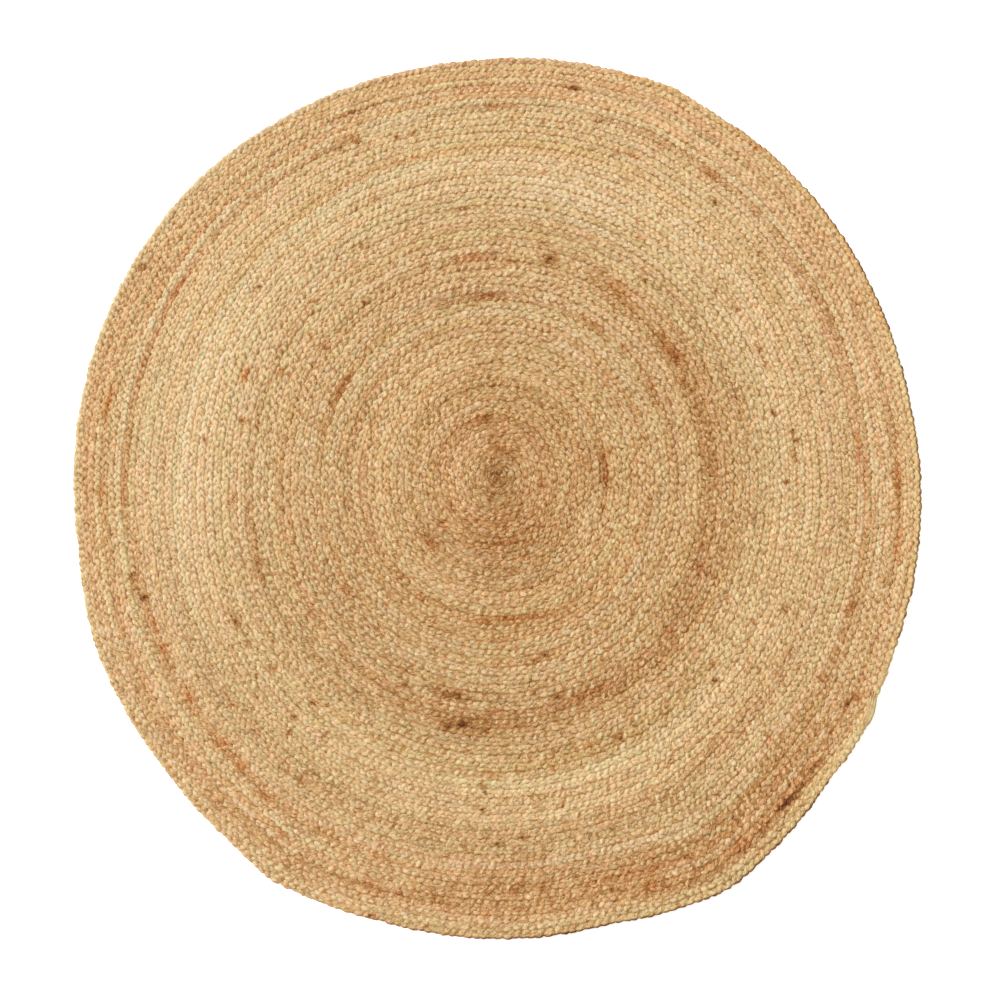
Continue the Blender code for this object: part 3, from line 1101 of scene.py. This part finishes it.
# What a step of warmth and a step of straw do to red, green and blue
WARMTH_TINT = (0.024, -0.018, -0.022)
STRAW_TINT = -0.035  # blue only
JUTE_LOOKS = {"Roughness": 0.82, "Specular IOR Level": 0.3}
BUMP = {"Strength": 0.8, "Distance": 0.0009}


def with_patterns(value, patterns, amounts):
    """A value with some patterns added, each times its amount."""
    for name, amount in amounts.items():
        value = value + amount * patterns[name]
    return value


def jute():
    """Undyed jute: a tone that picks its colour from the ramp, tinted by its warmth and its straw."""
    nodes = Nodes("jute_braid")
    fibre = nodes.attribute("fibre", "Vector")
    coordinates = {"fibre": fibre, "object": nodes.add("ShaderNodeTexCoord", {}, output=OBJECT_COORDINATES)}
    patterns = {name: nodes.pattern(coordinates[space], *sizes) for name, (space, *sizes) in PATTERNS.items()}
    # Two plies twisted into a strand: 1 along the middle of each, -1 in the grooves between them
    _, across, upwards = nodes.parts(fibre)
    across, upwards = across * across, upwards * upwards
    ply = (across - upwards) / (across + upwards + 1e-9) + PLY_UNEVENNESS * patterns["coarse"]
    patterns["ply"] = ply.clamped(-1.0, 1.0)
    crease = 1 - (patterns["creases"].size() / CREASE_WIDTH).clamped()
    depth = nodes.attribute("depth")

    tone = with_patterns(nodes.attribute("tone"), patterns, TONE_STEPS)
    # Painted shade: darker deep between the strands, more so in some patches
    tone = tone - (PAINTED_DEEP_SHADE + PAINTED_SHADE_PATCHES * patterns["patches"]) * (depth - MEAN_DEPTH)
    # Painted shade in fine creases
    tone = tone - CREASE_SHADE_TONE * (crease - CREASED)
    level = (tone / (2 * TONE_RANGE) + 0.5).clamped()
    colour = nodes.add("ShaderNodeValToRGB", {"stops": JUTE_TONES}, level)
    # The warmth deep between the strands is painted warm shade
    warmth = nodes.attribute("warmth") + BLUSH * patterns["blush"] + PAINTED_DEEP_WARMTH * (depth - WARM_DEPTH)
    straw = nodes.attribute("straw") + GOLD * patterns["gold"]
    red, green, blue = [1 + step * warmth for step in WARMTH_TINT]
    tint = nodes.add("ShaderNodeCombineColor", {"mode": "RGB"}, red, green, blue + STRAW_TINT * straw)
    height = with_patterns(0.0, patterns, HEIGHT_SHARES)
    bump = nodes.add("ShaderNodeBump", {}, Height=height, **BUMP)
    return nodes.dressed({"Base Color": nodes.tinted(colour, tint), "Normal": bump, **JUTE_LOOKS})


def floor():
    """The pale floor that the rug lies on."""
    bpy.ops.mesh.primitive_plane_add(size=FLOOR_SIZE, location=(0, 0, -FLOOR_DROP))
    made = bpy.context.object
    made.name = "floor"
    made.data.materials.append(Nodes("pale_floor").dressed(FLOOR_LOOKS))
    return made


def camera():
    data = bpy.data.cameras.new("camera")
    data.lens = LENS
    data.sensor_width = SENSOR
    made = linked("camera", data)
    made.location = camera_place()
    made.rotation_euler = (TILT, 0, 0)
    bpy.context.scene.camera = made


def lamps():
    world = bpy.data.worlds.new("studio")
    bpy.context.scene.world = world
    world.use_nodes = True
    background = world.node_tree.nodes["Background"]
    background.inputs["Color"].default_value = ROOM_COLOUR
    background.inputs["Strength"].default_value = ROOM_STRENGTH
    light = bpy.data.lights.new("key", "SUN")
    light.energy = LAMP_ENERGY
    light.color = LAMP_COLOUR
    light.angle = np.radians(LAMP_WIDTH)
    key = linked("key", light)
    azimuth, elevation = np.radians(LAMP_AZIMUTH), np.radians(LAMP_ELEVATION)
    level = np.cos(elevation)
    towards = Vector((np.cos(azimuth) * level, np.sin(azimuth) * level, np.sin(elevation)))
    key.location = towards * LAMP_DISTANCE
    key.rotation_euler = towards.to_track_quat("Z", "Y").to_euler()


def main():
    jute_material = jute()
    split = ROUNDS * np.sqrt(INNER_SHARE)
    braid = []
    for letter, strand in zip("abc", strands()):
        braid.append(strand_piece(f"strand_{letter}_inner", strand, 0, split))
        braid.append(strand_piece(f"strand_{letter}_outer", strand, split, ROUNDS + 1))
    slab = packed_fibres()
    for piece in [slab, *braid, loose_fibres()]:
        piece.data.materials.append(jute_material)
        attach(piece, "root")
        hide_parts("braided_rug")
    floor()
    lamps()
    camera()
    bpy.context.scene.view_settings.view_transform = "Standard"


main()
